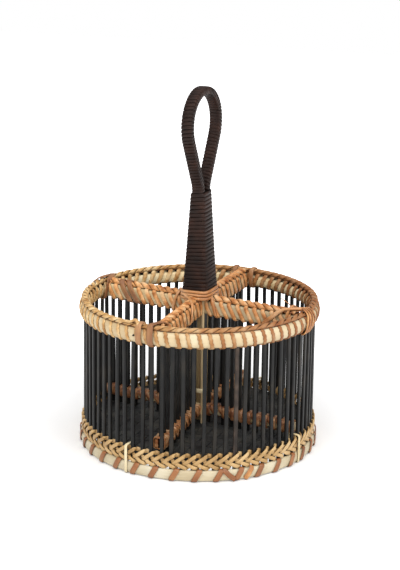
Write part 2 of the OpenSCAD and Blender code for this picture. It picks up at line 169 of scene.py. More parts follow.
def cane_material(name, tones, fibre_mm=0.5, blotch_mm=15, fleck=0.5, roughness=0.45, coat=0.12, bump=0.3,
                  shine=0.5, crease_shade=0.8, right_tone=None):
    """Split cane: long fibres along the strip, slow changes of tone, small dark flecks and painted shade in
    the creases.

    The tones are the dark, middle and light of the cane, its flecks and the painted shade of its creases. The
    last argument is one more tone that comes in towards the right of the object, and its greatest share.
    """
    material, tree, out = new_material(name)
    # The UV map of a strip is in millimetres: across in U, along in V.
    coords = add(tree, "ShaderNodeTexCoord")
    along = add(tree, "ShaderNodeMapping",
                {"Scale": (1 / fibre_mm, 1 / (fibre_mm * FIBRE_LENGTHS), 1)},
                {"Vector": coords.outputs["UV"]})
    fibre = add(tree, "ShaderNodeTexNoise", {"Scale": 1.0, "Detail": 5.0, "Roughness": 0.62},
                {"Vector": along.outputs["Vector"]})
    slow = add(tree, "ShaderNodeTexNoise", {"Scale": 1 / (blotch_mm * MM), "Detail": 2.0},
               {"Vector": coords.outputs["Object"]})
    stretch = add(tree, "ShaderNodeMapping",
                  {"Scale": (1 / FLECK_WIDE, 1 / FLECK_LONG, 1)}, {"Vector": coords.outputs["UV"]})
    spots = add(tree, "ShaderNodeTexNoise", {"Scale": 0.8, "Detail": 2.0},
                {"Vector": stretch.outputs["Vector"]})
    # The fibres shift the slow change of tone up and down by the same amount.
    tone = add(tree, "ShaderNodeMath", {"operation": "MULTIPLY_ADD", 1: FIBRE_SHARE},
               {0: fibre.outputs["Fac"], 2: slow.outputs["Fac"]})
    shift = add(tree, "ShaderNodeMath", {"operation": "SUBTRACT", 1: FIBRE_SHARE / 2},
                {0: tone.outputs["Value"]})
    body = add(tree, "ShaderNodeValToRGB", {"ramp": three_tones(tones, (0.3, 0.5, 0.7))},
               {"Fac": shift.outputs["Value"]})
    mask = add(tree, "ShaderNodeValToRGB",
               {"ramp": [(0.66, grey(0)), (0.76, grey(fleck))]}, {"Fac": spots.outputs["Fac"]})
    colour = add(tree, "ShaderNodeMix", {"data_type": "RGBA", 7: linear(tones[3])},
                 {"Factor": mask.outputs["Color"], 6: body.outputs["Color"]})
    if right_tone:
        tone_on_right, most = right_tone
        side = add(tree, "ShaderNodeVectorMath", {"operation": "DOT_PRODUCT", 1: RIGHT_TONE_WAY},
                   {0: coords.outputs["Object"]})
        share = add(tree, "ShaderNodeMapRange",
                    {"From Min": RIGHT_TONE_FROM * MM, "From Max": RIGHT_TONE_TO * MM, "To Max": most},
                    {"Value": side.outputs["Value"]})
        colour = add(tree, "ShaderNodeMix", {"data_type": "RGBA", 7: linear(tone_on_right)},
                     {"Factor": share.outputs["Result"], 6: colour.outputs[2]})
    # Painted shade: where two strips meet, ambient occlusion darkens the colour towards the crease tone.
    nearby = add(tree, "ShaderNodeAmbientOcclusion", {"samples": 6, "Distance": 1.8 * MM})
    crease = add(tree, "ShaderNodeValToRGB",
                 {"ramp": [(0.36, grey(crease_shade)), (0.86, grey(0))]}, {"Fac": nearby.outputs["AO"]})
    shaded = add(tree, "ShaderNodeMix", {"data_type": "RGBA", 7: linear(tones[4])},
                {"Factor": crease.outputs["Color"], 6: colour.outputs[2]})
    fibre_finish(tree, out, shaded.outputs[2], fibre, (roughness - 0.08, roughness + 0.1), bump, 0.15,
                 {"Specular IOR Level": shine, "Coat Weight": coat, "Coat Roughness": 0.3})
    return material


# Fibres 0.5 mm wide and about 40 mm long, drawn a little coarse so that they show, and blotches of 18 mm
FINE = 1 / (0.5 * MM)
LONG = 1 / (40 * MM)
BLOTCH = 1 / (18 * MM)


def bamboo_material(name, grain, tones):
    """Bamboo dyed black: satin, with grey fibre lines along the grain and thin places in the dye."""
    material, tree, out = new_material(name)
    coords = add(tree, "ShaderNodeTexCoord")
    lines = add(tree, "ShaderNodeMapping", {"Scale": grain}, {"Vector": coords.outputs["Object"]})
    fibre = add(tree, "ShaderNodeTexNoise", {"Scale": 1.0, "Detail": 4.0, "Roughness": 0.6},
                {"Vector": lines.outputs["Vector"]})
    slow = add(tree, "ShaderNodeTexNoise", {"Scale": BLOTCH, "Detail": 2.0},
               {"Vector": coords.outputs["Object"]})
    tone = add(tree, "ShaderNodeMath", {"operation": "MULTIPLY_ADD", 1: 0.5},
               {0: fibre.outputs["Fac"], 2: slow.outputs["Fac"]})
    colour = add(tree, "ShaderNodeValToRGB", {"ramp": three_tones(tones, (0.5, 0.75, 0.98))},
                 {"Fac": tone.outputs["Value"]})
    fibre_finish(tree, out, colour.outputs["Color"], fibre, (0.42, 0.62), 0.35, 0.12,
                 {"Specular IOR Level": 0.3})
    return material


# Black-dyed bamboo, split and scraped: nearly black with a soft grey sheen down the middle.
bamboo_upright = bamboo_material("black_dyed_bamboo_slat", (FINE, FINE, LONG),
                                 ["#090909", "#131312", "#28241E"])
# A slat whose dye has worn: brown shows through.
bamboo_worn = bamboo_material("worn_dyed_bamboo_slat", (FINE, FINE, LONG),
                              ["#171310", "#2C241E", "#5A4A3E"])
# The strips of the mat took the dye less well: dark grey.
bamboo_along_x = bamboo_material("grey_dyed_bamboo_warp", (LONG, FINE, FINE),
                                 ["#1A1A1B", "#2E2F2F", "#464540"])
bamboo_along_y = bamboo_material("grey_dyed_bamboo_weft", (FINE, LONG, FINE),
                                 ["#1E1E1F", "#343535", "#4C4B46"])
# Pale split rattan, peeled: cream with fine straw lines and a few grey flecks.
PALE = ["#E2C48E", "#F1DCAE", "#F9ECC8", "#B9A378", "#8A6636"]
PEELED = dict(fibre_mm=0.45, blotch_mm=22, fleck=0.7, roughness=0.5, coat=0.08)
pale_cane = cane_material("pale_split_rattan", PALE, crease_shade=0.12, **PEELED)
# The same rattan on the dividers, greyer on the right.
batten_cane = cane_material("greyed_split_rattan", PALE, crease_shade=0.12, right_tone=("#A89270", 0.8), **PEELED)
# The same rattan on the outside of the rim, a little darker and pinker: a shaded copy, painted shade against
# the stronger light outside.
outside_shaded_cane = cane_material("shaded_outside_split_rattan", ["#CAAF84", "#D7C199", "#E2D1AE", "#A28C68", "#8A6636"],
                           crease_shade=0.3, **PEELED)
# Cream rattan of the foot, sanded rounder: paler, with soft grey fibres.
foot_cane = cane_material("cream_split_rattan", ["#C2B08C", "#D0C2A2", "#DED3B8", "#9C8F74", "#8A7650"],
                          fibre_mm=0.6, blotch_mm=26, fleck=0.8, roughness=0.5, coat=0.08, crease_shade=0.3)
# Rattan skin, smoked light brown: straw on the left, red brown on the right, with a satin skin.
SATIN = dict(coat=0.06, shine=0.35, crease_shade=0.9)
rim_cane = cane_material("smoked_rattan_skin", ["#AC7A42", "#DAAE70", "#F4D8A4", "#80562A", "#2E180A"],
                         blotch_mm=8, right_tone=("#8A4824", 0.75), **SATIN)
# The same skin smoked redder on the dividers.
arm_cane = cane_material("red_smoked_rattan_skin", ["#AE6A34", "#EAA868", "#FCD6A2", "#74441E", "#2A1206"],
                         blotch_mm=7, right_tone=("#8A4824", 0.35), **SATIN)
# Rattan skin smoked to an even red brown, for the foot straps.
strap_cane = cane_material("brown_smoked_rattan_skin",
                           ["#84502A", "#9E643A", "#B07A4A", "#63391A", "#40230E"],
                           fibre_mm=0.6, blotch_mm=20, fleck=0.4, bump=0.25)
# Rattan skin smoked dark, for the rim ties.
dark_cane = cane_material("dark_smoked_rattan_skin", ["#7A4C2C", "#9A6840", "#B48458", "#4A2A18", "#2E170A"],
                          fibre_mm=0.6, blotch_mm=16, roughness=0.5, coat=0.1)
# Rattan skin smoked rust red, for the right end of the long divider.
rust_cane = cane_material("rust_smoked_rattan_skin", ["#7E4522", "#9A5A2E", "#B47440", "#4E2A14", "#2A1408"],
                          fibre_mm=0.6, blotch_mm=16)
# The thin strands over it, smoked lighter.
tawny_cane = cane_material("tawny_smoked_rattan_skin",
                           ["#9A5E30", "#BE8048", "#DCA868", "#5E3820", "#351A0A"],
                           blotch_mm=8, roughness=0.42, coat=0.15)
# Rattan skin of the low battens, smoked unevenly: orange on the turns, with painted shade nearly black
# between them.
UNEVEN = dict(fibre_mm=0.6, blotch_mm=5, fleck=0.6, roughness=0.42, coat=0.15, bump=0.35)
low_cane = cane_material("uneven_smoked_rattan_skin",
                         ["#8A4C26", "#B47846", "#DEB488", "#43230F", "#241006"], **UNEVEN)
# The same on the long divider, painted darker as shade, as its low battens lie in shadow behind the slats.
low_shaded_cane = cane_material("shaded_low_rattan_skin",
                              ["#5E341C", "#8A5632", "#B88A60", "#2E1A0E", "#1C0C05"], **UNEVEN)
# Rattan core, golden and smooth: honey yellow with pale edges.
golden_cane = cane_material("golden_rattan_core", ["#AA8450", "#C6A068", "#D8B682", "#86622F", "#4A3212"])
# Orange rattan strands of the crossing, glossy.
orange_cane = cane_material("orange_rattan_skin", ["#AA6C3C", "#CA8E58", "#E2B284", "#744524", "#402008"],
                            blotch_mm=14, fleck=0.4, roughness=0.38, coat=0.2, bump=0.25)
# Pale split ties, thin and glossy.
tie_cane = cane_material("pale_rattan_tie", ["#D8BE8C", "#EAD8AC", "#F5E9C8", "#B69C6C", "#7A5C30"],
                         fibre_mm=0.4, blotch_mm=18, fleck=0.4, roughness=0.42, coat=0.15, bump=0.25)
# Binding cane stained dark brown: low grey-brown sheen on each ridge.
dark_binding = cane_material("stained_binding_cane", ["#180C07", "#24130C", "#331D14", "#0C0604", "#070302"],
                             blotch_mm=12, roughness=0.5, coat=0.0, bump=0.35, shine=0.22)


def stick_material(name, tones):
    """Peeled wild cane: matt tan with long grey fibres."""
    material, tree, out = new_material(name)
    coords = add(tree, "ShaderNodeTexCoord")
    lines = add(tree, "ShaderNodeMapping", {"Scale": (FINE, FINE, LONG)},
                {"Vector": coords.outputs["Object"]})
    fibre = add(tree, "ShaderNodeTexNoise", {"Scale": 1.0, "Detail": 5.0, "Roughness": 0.65},
                {"Vector": lines.outputs["Vector"]})
    colour = add(tree, "ShaderNodeValToRGB", {"ramp": three_tones(tones, (0.3, 0.5, 0.7))},
                 {"Fac": fibre.outputs["Fac"]})
    fibre_finish(tree, out, colour.outputs["Color"], fibre, (0.5, 0.75), 0.4, 0.15, {})
    return material


# Peeled cane of the post sticks: pale tan with dry grey fibres.
natural_stick = stick_material("peeled_wild_cane", ["#A4865A", "#D4B98C", "#EEDCB4"])
# Core of the handle, stained with its binding: dull dark brown.
stained_core = stick_material("stained_cane_core", ["#140A06", "#1E110B", "#2A1A12"])
# The stick in the middle of the post keeps its bark: dull olive brown.
bark_stick = stick_material("wild_cane_in_bark", ["#4E3C22", "#7A6440", "#A08A60"])

# Strips of cane

def both_sides(half):
    """A section of a strip, across and out from -1 to 1, from its right side: back to front."""
    left = [(-across, out) for across, out in half]
    return left[:1] + half + [(0, 1)] + left[:0:-1]


# Split cane: flat behind, crowned in front
SPLIT = both_sides([(0.86, -1), (1, -0.5), (0.93, 0.3), (0.6, 0.82)])
# Flat cane with eased edges on both sides
FLAT = both_sides([(0.82, -1), (1, -0.4), (1, 0.4), (0.8, 0.95)])
# A bent batten: flat against the slats, gently crowned outside
CROWNED = both_sides([(0.97, -1), (1, -0.6), (0.985, 0.2), (0.93, 0.68), (0.7, 0.93), (0.35, 0.99)])
# A split hoop: half round
HALF_ROUND = both_sides([(0.97, -1), (1, -0.7), (0.97, -0.25), (0.86, 0.3), (0.66, 0.7), (0.36, 0.93)])
# The rim's hoops: rounder still
RIM_ROUND = both_sides([(0.98, -1), (1, -0.86), (0.95, -0.4), (0.82, 0.12), (0.62, 0.56), (0.36, 0.87)])
# Round cane
ROUND = [(math.cos(math.tau * i / 10), math.sin(math.tau * i / 10)) for i in range(10)]

# The map of each new run starts so many millimetres further on, to look different.
RUN_SHIFT = 53
# Edges flatter than this angle are smooth, and corners closer than this are one.
SMOOTH_ANGLE = 58
MERGE = 0.002


def stations(points, normals, width, thick):
    """Sections along a strip: middle, half width across and half thickness out, square to the run."""
    last = len(points) - 1
    closed = (points[0] - points[-1]).length < 1e-6
    widths = width if isinstance(width, list) else [width] * (last + 1)
    found = []
    for i, (point, normal) in enumerate(zip(points, normals)):
        before = points[i - 1] if i > 0 else points[-2] if closed else point
        after = points[i + 1] if i < last else points[1] if closed else point
        run = (after - before).normalized()
        across = run.cross(normal).normalized()
        found.append((point, across * widths[i] / 2, across.cross(run) * thick / 2))
    return found


def lay_strips(name, runs, section, material, slot, *nodes):
    """One piece of cane strips: a grid whose rows go onto the stations of each run, closed up."""
    bpy.ops.object.select_all(action="DESELECT")
    bpy.context.tool_settings.mesh_select_mode = (False, False, True)
    sides = len(section)
    rows = [station for run in runs for station in run]
    bpy.ops.mesh.primitive_grid_add(x_subdivisions=sides, y_subdivisions=len(rows) - 1, size=1)
    piece = bpy.context.object
    piece.name = name
    mesh = piece.data
    mesh.name = name
    middle = np.array([row[0] for row in rows])
    across = np.array([row[1] for row in rows])
    out = np.array([row[2] for row in rows])
    profile = np.array(section + section[:1])
    place = (middle[:, None, :] + profile[None, :, :1] * across[:, None, :]
             + profile[None, :, 1:] * out[:, None, :])
    mesh.vertices.foreach_set("co", place.reshape(-1) * MM)
    # The map runs across in U and along in V, in millimetres, from a new place for each run.
    long = np.zeros(len(rows))
    first = 0
    breaks = []
    for number, run in enumerate(runs):
        end = first + len(run)
        step = np.linalg.norm(np.diff(middle[first:end], axis=0), axis=1)
        long[first:end] = RUN_SHIFT * number + np.concatenate([[0], np.cumsum(step)])
        breaks.append(end - 1)
        first = end
    girth = np.linalg.norm(np.diff(place[0], axis=0), axis=1)
    round_way = np.concatenate([[0], np.cumsum(girth)])
    corner = np.zeros(len(mesh.loops), dtype=int)
    mesh.loops.foreach_get("vertex_index", corner)
    uv = np.stack([round_way[corner % (sides + 1)], long[corner // (sides + 1)]], axis=1)
    mesh.uv_layers.active.data.foreach_set("uv", uv.reshape(-1))
    # Faces that join one run to the next are taken out.
    joins = set(breaks[:-1])
    for face in mesh.polygons:
        face.select = face.index // sides in joins
    bpy.ops.object.mode_set(mode="EDIT")
    if joins:
        bpy.ops.mesh.delete(type="FACE")
    bpy.ops.mesh.select_all(action="SELECT")
    bpy.ops.mesh.remove_doubles(threshold=MERGE * MM)
    bpy.ops.mesh.fill_holes(sides=sides + 2)
    bpy.ops.mesh.select_all(action="SELECT")
    bpy.ops.mesh.normals_make_consistent(inside=False)
    bpy.ops.object.mode_set(mode="OBJECT")
    bpy.ops.object.shade_smooth_by_angle(angle=math.radians(SMOOTH_ANGLE))
    mesh.materials.append(material)
    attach(piece, "root")
    if nodes:
        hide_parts(*nodes)


def box_corners(half, low, high):
    """Corners of a box section, evenly wide about its middle, in the order of a winding."""
    return [(half, low), (half, high), (-half, high), (-half, low)]


# A rounded corner starts and ends this share of the pitch from its middle, which stands in this share of
# its radius.
CORNER_SHARE = 0.012
CORNER_IN = 0.29
# No corner is rounded further than this share of a side.
MOST_ROUNDED = 0.4


def wrap_path(corners, shares, radius, bulge):
    """One turn round a section: place, outward side and share of the pitch at each station.

    The corners go round the section in the order of the winding. Each is rounded by three stations,
    and the cane lifts a little between two corners.
    """
    count = len(corners)
    turn = []
    for k in range(count):
        here = Vector(corners[k])
        last = Vector(corners[k - 1])
        following = Vector(corners[(k + 1) % count])
        before = (here - last).normalized()
        after = (following - here).normalized()
        side_in = Vector((before[1], -before[0]))
        side_out = Vector((after[1], -after[0]))
        ease = min(radius, MOST_ROUNDED * (following - here).length)
        soft = min(radius, MOST_ROUNDED * (here - last).length)
        turn.append((here - before * soft, side_in, shares[k] - CORNER_SHARE))
        turn.append((here + (after * ease - before * soft) * CORNER_IN, (side_in + side_out).normalized(),
                     shares[k]))
        turn.append((here + after * ease, side_out, shares[k] + CORNER_SHARE))
        next_share = shares[k + 1] if k + 1 < count else shares[0] + 1
        turn.append(((here + following) / 2 + side_out * bulge, side_out, (shares[k] + next_share) / 2))
    return turn


def winding(turns, place, play, width, thick):
    """Stations of a strip wound through one turn after another, each from wrap_path.

    place puts a section point at so many turns from the start.
    """
    points = []
    normals = []
    for number, turn in enumerate(turns):
        slip = jitter(play)
        for spot, side, share in turn:
            points.append(place(number + share + slip, spot))
            normals.append(place(number + share + slip, spot + side) - points[-1])
    return stations(points, normals, width, thick)


def round_wall(first, pitch):
    """The place of a winding round the wall from an angle on: the section is radius and height."""
    return lambda turned, spot: polar(spot[0], first + turned * pitch, spot[1])


def section_loops(corners, places, width, thick, radius):
    """Runs of a band bent into closed loops round a section. Each place puts a section point in space."""
    turn = wrap_path(corners, [0] * len(corners), radius, bulge=0.05)
    runs = []
    for put in places:
        points = [put(spot[0], spot[1]) for spot, side, share in turn]
        normals = [put(spot[0] + side[0], spot[1] + side[1]) - put(spot[0], spot[1])
                   for spot, side, share in turn]
        runs.append(stations(points + points[:1], normals + normals[:1], width, thick))
    return runs


def upright_at(angle):
    """The place of a loop round the wall's section at an angle: the section is radius and height."""
    return lambda radius, z: polar(radius, angle, z)


def arm_point(arm, along, across, z):
    """A point of a divider arm: distance from the axis, distance to its left, and height."""
    turn = math.radians(ARMS[arm])
    return Vector((along * math.cos(turn) - across * math.sin(turn),
                   along * math.sin(turn) + across * math.cos(turn), z))


def spline(before, here, after, later, t):
    """A point between here and after on a smooth line through four places."""
    return 0.5 * (2 * here + (after - before) * t + (2 * before - 5 * here + 4 * after - later) * t * t
                  + (3 * here - before - 3 * after + later) * t ** 3)


UP = (0, 0, 1)
DOWN = (0, 0, -1)


def strap(knots, width, thick, steps=5):
    """Stations of a loose strap that runs smoothly through knots: a point and an outward side each."""
    places = [Vector(place) for place, side in knots]
    sides = [Vector(side) for place, side in knots]
    points = []
    normals = []
    for i in range(len(knots) - 1):
        before = places[max(i - 1, 0)]
        later = places[min(i + 2, len(places) - 1)]
        for step in range(steps):
            t = step / steps
            points.append(spline(before, places[i], places[i + 1], later, t))
            normals.append(sides[i].lerp(sides[i + 1], t).normalized())
    return stations(points + places[-1:], normals + sides[-1:], width, thick)


def arm_knots(arm, *knots):
    """Knots of a strap on a divider arm: along, across, height and outward side of each."""
    return [(arm_point(arm, along, across, z), side) for along, across, z, side in knots]


def rim_knots(*knots):
    """Knots of a strap on the rim: radius, angle, height and outward side of each."""
    return [(polar(radius, angle, z), side) for radius, angle, z, side in knots]


# The wall

# How far a slat's foot and head stray in degrees, and its middle in millimetres
FOOT_PLAY = 0.25
HEAD_PLAY = 0.7
BOW_PLAY = 0.6
WIDTH_PLAY = 0.3
# How far the wall's outward side looks up
WALL_TILT = 0.015
# One slat right of the front has lost some of its dye.
WORN_SLAT = 62


def slat_run(foot, head, outward, bow):
    """Stations of one slat from its foot to its head, bowed a little to one side."""
    rise = head - foot
    aside = rise.cross(outward).normalized()
    wide = SLAT_WIDE + jitter(WIDTH_PLAY)
    points = [foot + rise * share + aside * bow * math.sin(math.pi * share)
              for share in (0, 0.12, 0.3, 0.5, 0.7, 0.88, 1)]
    return stations(points, [outward] * len(points), wide, SLAT_THICK)


runs = []
for i in range(SLAT_COUNT):
    angle = (i + 0.5) * SLAT_STEP
    foot = polar(wall_radius(WALL_SLAT_FOOT), angle + jitter(FOOT_PLAY), WALL_SLAT_FOOT)
    head = polar(wall_radius(SLAT_TOP), angle + jitter(HEAD_PLAY), SLAT_TOP)
    runs.append(slat_run(foot, head, polar(1, angle, WALL_TILT), jitter(BOW_PLAY)))
worn = runs.pop(WORN_SLAT)
lay_strips("wall_slat_ring", runs, FLAT, bamboo_upright, "black_bamboo", "wall_slats")
lay_strips("worn_wall_slat", [worn], FLAT, bamboo_worn, "black_bamboo")

HOOP_STEPS = 144
HOOP_PLAY = 0.12


def hoop(name, bottom, top, side, section, material, *nodes):
    """A closed hoop of split cane on one side of the slats, not quite true as bent cane is."""
    middle = (bottom + top) / 2
    radius = wall_radius(middle) + side * (SKIN_IN + SKIN_OUT) / 2
    points = []
    normals = []
    # Three slow waves of two, three and four to the round
    waves = [jitter(HOOP_PLAY) for _ in range(3)]
    for i in range(HOOP_STEPS + 1):
        angle = 360 / HOOP_STEPS * (i % HOOP_STEPS)
        stray = sum(size * math.sin(math.radians(angle * (k + 2)) + 9 * size) for k, size in enumerate(waves))
        points.append(polar(radius, angle, middle + stray))
        normals.append(polar(side, angle, WALL_TILT * side))
    run = stations(points, normals, top - bottom, CANE_THICK)
    lay_strips(name, [run], section, material, "pale_cane", *nodes)


# The inside hoop of the rim sits a little low, so that the rope stands over dark gaps.
INSIDE_LOW = 2.2
# The outside hoop of the foot bulges a little past the CAD hoop, below and above.
FOOT_BULGE_LOW = 0.5
FOOT_BULGE = 0.8
hoop("rim_hoop_outside", RIM_BOTTOM, RIM_TOP, 1, RIM_ROUND, outside_shaded_cane, "rim_outer_hoop")
hoop("rim_hoop_inside", RIM_BOTTOM, RIM_TOP - INSIDE_LOW, -1, RIM_ROUND, pale_cane, "rim_inner_hoop")
hoop("foot_hoop_outside", FOOT_BOTTOM - FOOT_BULGE_LOW, FOOT_TOP + FOOT_BULGE, 1, HALF_ROUND, foot_cane,
     "foot_outer_hoop")
hoop("foot_hoop_inside", FOOT_BOTTOM, FOOT_INNER_TOP, -1, HALF_ROUND, foot_cane, "foot_inner_hoop")

# The rim lashing goes down inside on a slant, through a gap, and up outside nearly upright.
# Corners of one side of it: out from the slats, height, and share of the pitch outside and inside
RIM_LAP = [(2.0, RIM_BOTTOM - LASH_LIFT, 0.22, 0.84), (3.7, RIM_BOTTOM + 2.2, 0.15, 0.72),
           (4.4, (RIM_BOTTOM + RIM_TOP) / 2, 0.07, 0.56), (3.7, RIM_TOP - 2.2, -0.02, 0.38),
           (2.0, RIM_TOP + LASH_LIFT, -0.1, 0.26)]
RIM_LASH_THICK = 1.3
# The strip lies wider inside than outside.
RIM_LASH_OUTSIDE = 2.9
RIM_LASH_INSIDE = 3.7
rim_middle = wall_radius(RIM_TOP)
rim_corners = [(rim_middle + out, z) for out, z, outside, inside in RIM_LAP]
rim_corners += [(rim_middle - out, z) for out, z, outside, inside in reversed(RIM_LAP)]
rim_shares = [row[2] for row in RIM_LAP] + [row[3] for row in reversed(RIM_LAP)]
rim_turn = wrap_path(rim_corners, rim_shares, radius=1.3, bulge=0.02)
half_turn = len(rim_turn) // 2
widths = ([RIM_LASH_OUTSIDE] * half_turn + [RIM_LASH_INSIDE] * half_turn) * SLAT_COUNT
run = winding([rim_turn] * SLAT_COUNT, round_wall(0, SLAT_STEP), play=0.05, width=widths,
              thick=RIM_LASH_THICK)
lay_strips("rim_wrapping", [run[:-1]], SPLIT, rim_cane, "brown_cane", "rim_lashing")


def rope(place, first, pitch, count, swing, rise, width, thick, closed):
    """Two strands twisted into a flat rope. place gives a point from the run, across and up."""
    runs = []
    steps = 10
    for strand in (0, 1):
        points = []
        normals = []
        for i in range(steps * count + 1):
            share = i / steps
            phase = math.pi * (share + strand)
            if closed and i == steps * count:
                points.append(points[0])
                normals.append(normals[0])
                break
            along = first + share * pitch
            across = swing * math.cos(phase)
            up = rise * math.sin(phase)
            points.append(place(along, across, up))
            # Each strand faces away from the middle of the rope, and a little up.
            normals.append(place(along, across + 0.55 * math.cos(phase), up + math.sin(phase) + 0.25)
                           - points[-1])
        runs.append(stations(points, normals, width, thick))
    return runs


def on_rim(angle, across, up):
    """A point of the rope that lies on top of the rim."""
    return polar(rim_middle + across, angle, PLAIT_BOTTOM + 1.2 + up)


FILLER_THICK = 2.6
FILLER_HEIGHT = RIM_TOP + 0.7


def filler(name, points):
    """A dark round cane that lies on the tops of the slats, under a rope."""
    run = stations(points, [Vector(UP)] * len(points), FILLER_THICK, FILLER_THICK)
    lay_strips(name, [run], ROUND, dark_cane, "dark_cane")


runs = rope(on_rim, 0, SLAT_STEP, SLAT_COUNT, swing=1.7, rise=0.9, width=3.5, thick=2.2, closed=True)
lay_strips("rim_rope", runs, ROUND, rim_cane, "brown_cane", "rim_plait")
ring = [polar(rim_middle, SLAT_STEP * i, FILLER_HEIGHT) for i in range(SLAT_COUNT)]
filler("rim_filler", ring + ring[:1])

# The straps of the foot go up outside on a slant, over the hoops through a gap, and down inside.
FOOT_STRAP_WIDE = 4.6
LOOSE_STRAP_WIDE = 4.2
foot_low = FOOT_BOTTOM - LASH_LIFT + 0.3
foot_high = FOOT_TOP + FOOT_BULGE + LASH_LIFT
foot_out = wall_radius(FOOT_TOP) + SKIN_OUT + LASH_LIFT
foot_in = wall_radius(FOOT_BOTTOM) - SKIN_OUT - LASH_LIFT
foot_turn = wrap_path([(foot_out + 0.1, foot_low), (foot_out, foot_high),
                       (wall_radius(FOOT_TOP) + SKIN_IN, foot_high),
                       (foot_in, FOOT_INNER_TOP + LASH_LIFT), (foot_in, foot_low)],
                      [0.0, 0.24, 0.26, 0.29, 0.95], radius=1.4, bulge=0.1)
run = winding([foot_turn] * (SLAT_COUNT // 2), round_wall(0.63 * SLAT_STEP, 2 * SLAT_STEP), play=0.03,
              width=FOOT_STRAP_WIDE, thick=LASH_THICK)


def loose_foot_strap(*places):
    """Stations of one more strap over the outside hoop: radius, angle and height of each place."""
    points = [polar(*place) for place in places]
    # It looks outwards and a little up, by about a fifth of its distance from the axis.
    facing = [Vector((point.x, point.y, 20)).normalized() for point in points]
    return stations(points, facing, LOOSE_STRAP_WIDE, LASH_THICK)


# One strap crosses the others, and one beside it is paler.
crossed = loose_foot_strap((100.5, 306.8, 11.0), (102.9, 307.3, 9.8), (103.3, 309.6, 5.4),
                           (103.1, 311.8, 2.3), (101.5, 312.4, 1.9))
lay_strips("foot_straps", [run[:-1], crossed], SPLIT, strap_cane, "brown_cane", "foot_lashing")
spare = loose_foot_strap((101.5, 316.8, 1.7), (103.1, 317.1, 2.2), (103.3, 318.6, 5.6),
                         (102.9, 320.1, 9.8), (100.5, 320.6, 11.0))
lay_strips("foot_pale_strap", [spare], SPLIT, tawny_cane, "brown_cane")

# Knots of a twining strand over two slats: along in slats, height over the foot of the band, out in
# reaches, and width.
# A strand of the upper row rises on a long slant before one slat, turns in broad and comes back behind
# the next.
UPPER_KNOTS = [(-1.0, 3.2, 0.2, 2.8), (-0.65, 5.5, 1.2, 3.0), (-0.25, 8.2, 1.45, 3.0),
               (0.18, 11.0, 1.5, 3.0), (0.29, 11.5, 1.1, 3.1), (0.37, 11.2, -0.2, 3.6),
               (0.7, 10.9, -0.5, 3.8), (0.92, 6.4, -1.0, 3.0)]
# A strand of the lower row starts under the upper one and comes down over its foot.
LOWER_KNOTS = [(-1.1, 8.0, 0.1, 2.8), (-0.85, 6.6, 0.65, 2.9), (-0.55, 5.0, 1.0, 3.0),
               (-0.2, 3.3, 1.45, 3.1), (0.15, 1.9, 1.4, 3.1), (0.4, 1.0, 0.9, 3.0),
               (0.46, 1.8, -0.6, 4.2), (0.6, 4.8, -1.0, 4.6)]
TWINE_THICK = 1.1
# How far a knot strays in height, and along in degrees
TWINE_PLAY = 0.18
TWINE_SLIP = 0.12
# A reach puts the middle of a strand just clear of the slats.
TWINE_REACH = SKIN_IN + TWINE_THICK / 2


def twine_run(first, knots):
    """Stations of one strand of paired twining, right round the wall."""
    places = []
    widths = []
    for pair in range(SLAT_COUNT // 2):
        for i, (along, height, out, width) in enumerate(knots):
            z = BAND_BOTTOM + height + jitter(TWINE_PLAY)
            angle = (first + 0.5 + 2 * pair + along) * SLAT_STEP + jitter(TWINE_SLIP)
            places.append(polar(wall_radius(z) + TWINE_REACH * out, angle, z))
            widths += [width, (width + knots[(i + 1) % len(knots)][3]) / 2]
    points = []
    for i in range(len(places)):
        before, here, after, later = (places[(i + k) % len(places)] for k in (-1, 0, 1, 2))
        points += [spline(before, here, after, later, t) for t in (0, 0.5)]
    normals = [Vector((point.x, point.y, 0)).normalized() for point in points]
    return stations(points + points[:1], normals + normals[:1], widths + widths[:1], TWINE_THICK)


for row, knots in (("upper", UPPER_KNOTS), ("lower", LOWER_KNOTS)):
    for strand, first in (("one", 0), ("two", 1)):
        lay_strips("%s_twining_%s" % (row, strand), [twine_run(first, knots)], FLAT,
                   golden_cane, "golden_cane", "%s_twine_%s" % (row, strand))

# Pale ties hold the band and the foot together at the ends of the dividers.
TIE_WIDE = 2.6
tie_low = 0.45
tie_high = BAND_TOP + 0.5
tie_out = wall_radius(0) + SKIN_OUT + 0.6
tie_in = wall_radius(0) - SKIN_OUT - 1.7
runs = section_loops([(tie_out, tie_low), (tie_out, tie_high), (tie_in, tie_high), (tie_in, tie_low)],
                     [upright_at(angle) for angle in FOOT_TIES], TIE_WIDE, LASH_THICK, radius=1.6)
lay_strips("foot_tie_loops", runs, SPLIT, tie_cane, "split_cane_tie", "foot_ties")

# The dividers

BATTEN_STEPS = 25
# Where the battens of the short dividers start, clear of the long divider
FRONT_START = 4.51
BACK_START = 4.14


def batten(node, arm, start, side, bottom, top):
    """A batten of split cane along a divider, on one side of its slats."""
    lean = side * (SKIN_IN + SKIN_OUT) / 2
    places = np.linspace(start, ARM_END, BATTEN_STEPS)
    points = [arm_point(arm, along, lean, (bottom + top) / 2) for along in places]
    run = stations(points, [arm_point(arm, 0, side, 0)] * BATTEN_STEPS, top - bottom, CANE_THICK)
    skin = low_cane if node.startswith("front_low") else batten_cane
    lay_strips(node + "_cane", [run], CROWNED, skin, "pale_cane", node)


for level, bottom, top in (("top", RIM_BOTTOM, RIM_TOP), ("low", LOW_BOTTOM, LOW_TOP)):
    batten("long_%s_batten_front" % level, "right", -ARM_END, -1, bottom, top)
    batten("long_%s_batten_back" % level, "right", -ARM_END, 1, bottom, top)
    batten("front_%s_batten_left" % level, "front", FRONT_START, -1, bottom, top)
    batten("front_%s_batten_right" % level, "front", FRONT_START, 1, bottom, top)
    batten("back_%s_batten_left" % level, "back", BACK_START, 1, bottom, top)
    batten("back_%s_batten_right" % level, "back", BACK_START, -1, bottom, top)

